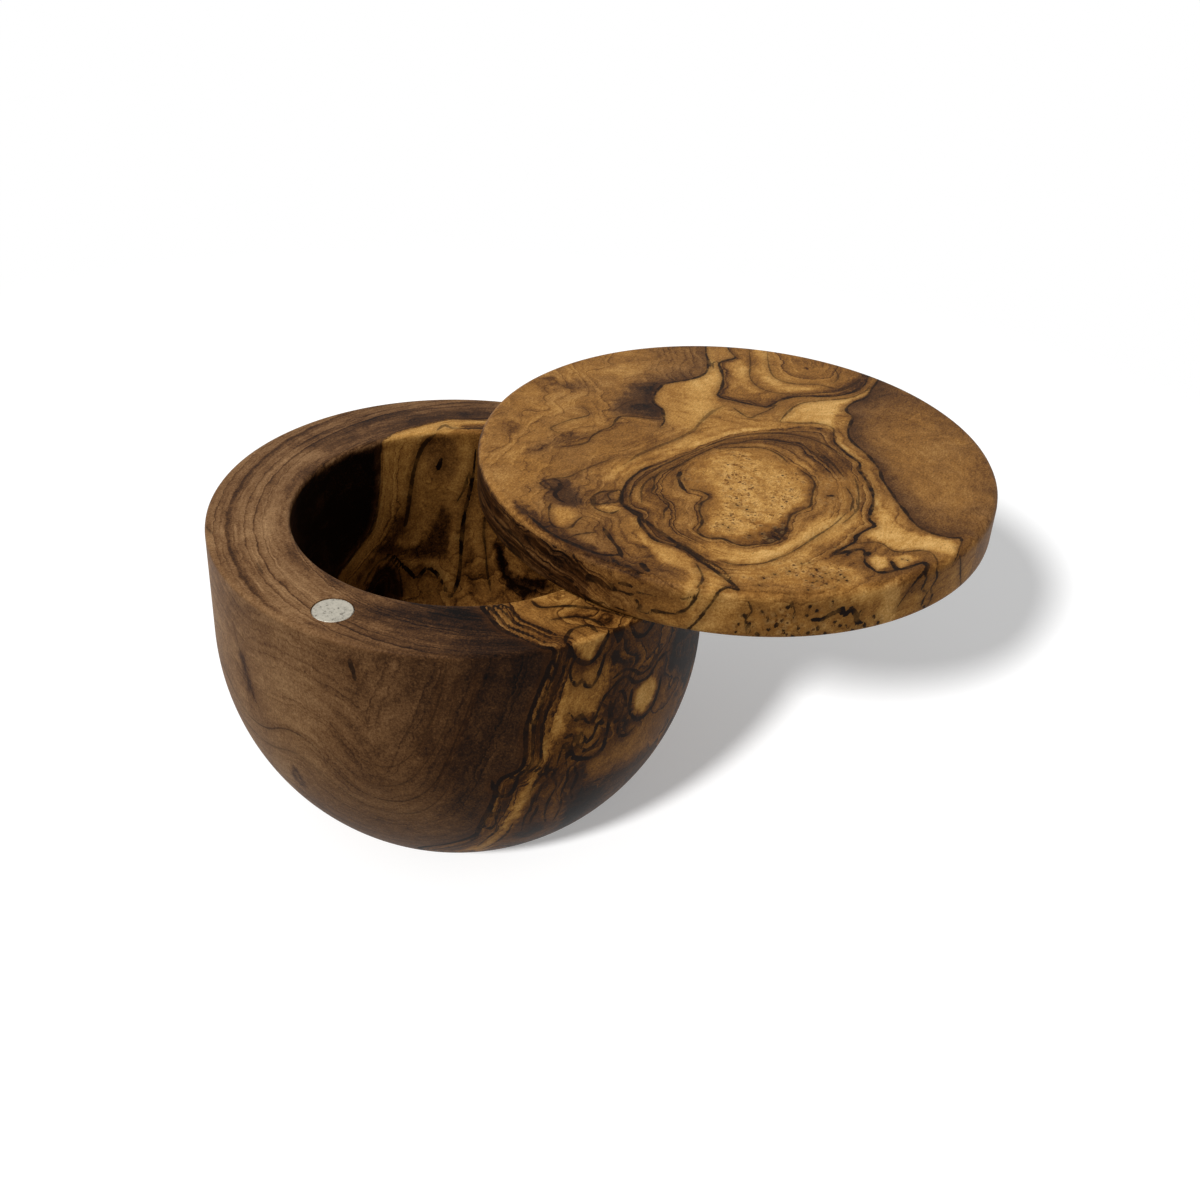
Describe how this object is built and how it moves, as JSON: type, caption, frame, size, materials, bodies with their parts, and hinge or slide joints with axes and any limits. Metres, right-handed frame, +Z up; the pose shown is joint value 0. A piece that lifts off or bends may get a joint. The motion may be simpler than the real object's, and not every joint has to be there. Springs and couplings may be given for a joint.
{
  "type": "salt box with swivel lid",
  "caption": "Round turned-wood salt keeper: a thick-walled bowl with a flat round lid that swings open level on an upright pin and is held shut by flush magnets.",
  "frame": {"origin": "centre of the bowl's flat underside, on the surface that it stands on", "axes": "+Z up along the bowl's axis; +X towards the side that the open lid overhangs; +Y away from the picture's viewer. The rest pose has the lid swung open a quarter turn, as pictured"},
  "size_m": [0.1641, 0.1219, 0.0805],
  "materials": {
    "bowl_wood": "turned olive wood, oiled to a satin sheen: plain walnut-brown heartwood round most of it, golden wood with black veins at the front right and inside",
    "lid_wood": "turned olive wood, oiled to a satin sheen: golden-brown figured wood with dark wavy veins round a speckled burl eye",
    "pin_steel": "ground steel dowel pin",
    "magnet_nickel": "nickel-plated disc magnet, dulled and finely scratched"
  },
  "bodies": {
    "bowl": {"bowl": "bowl_wood", "rim_magnet": "magnet_nickel"},
    "lid": {"lid": "lid_wood", "pivot_pin": "pin_steel", "lid_magnet": "magnet_nickel"}
  },
  "joints": [
    {"name": "lid_swivel", "type": "hinge", "parent": "bowl", "child": "lid", "pos_m": [0.0211, 0.03597, 0.0705], "axis": [0, 0, -1], "continuous": true}
  ]
}
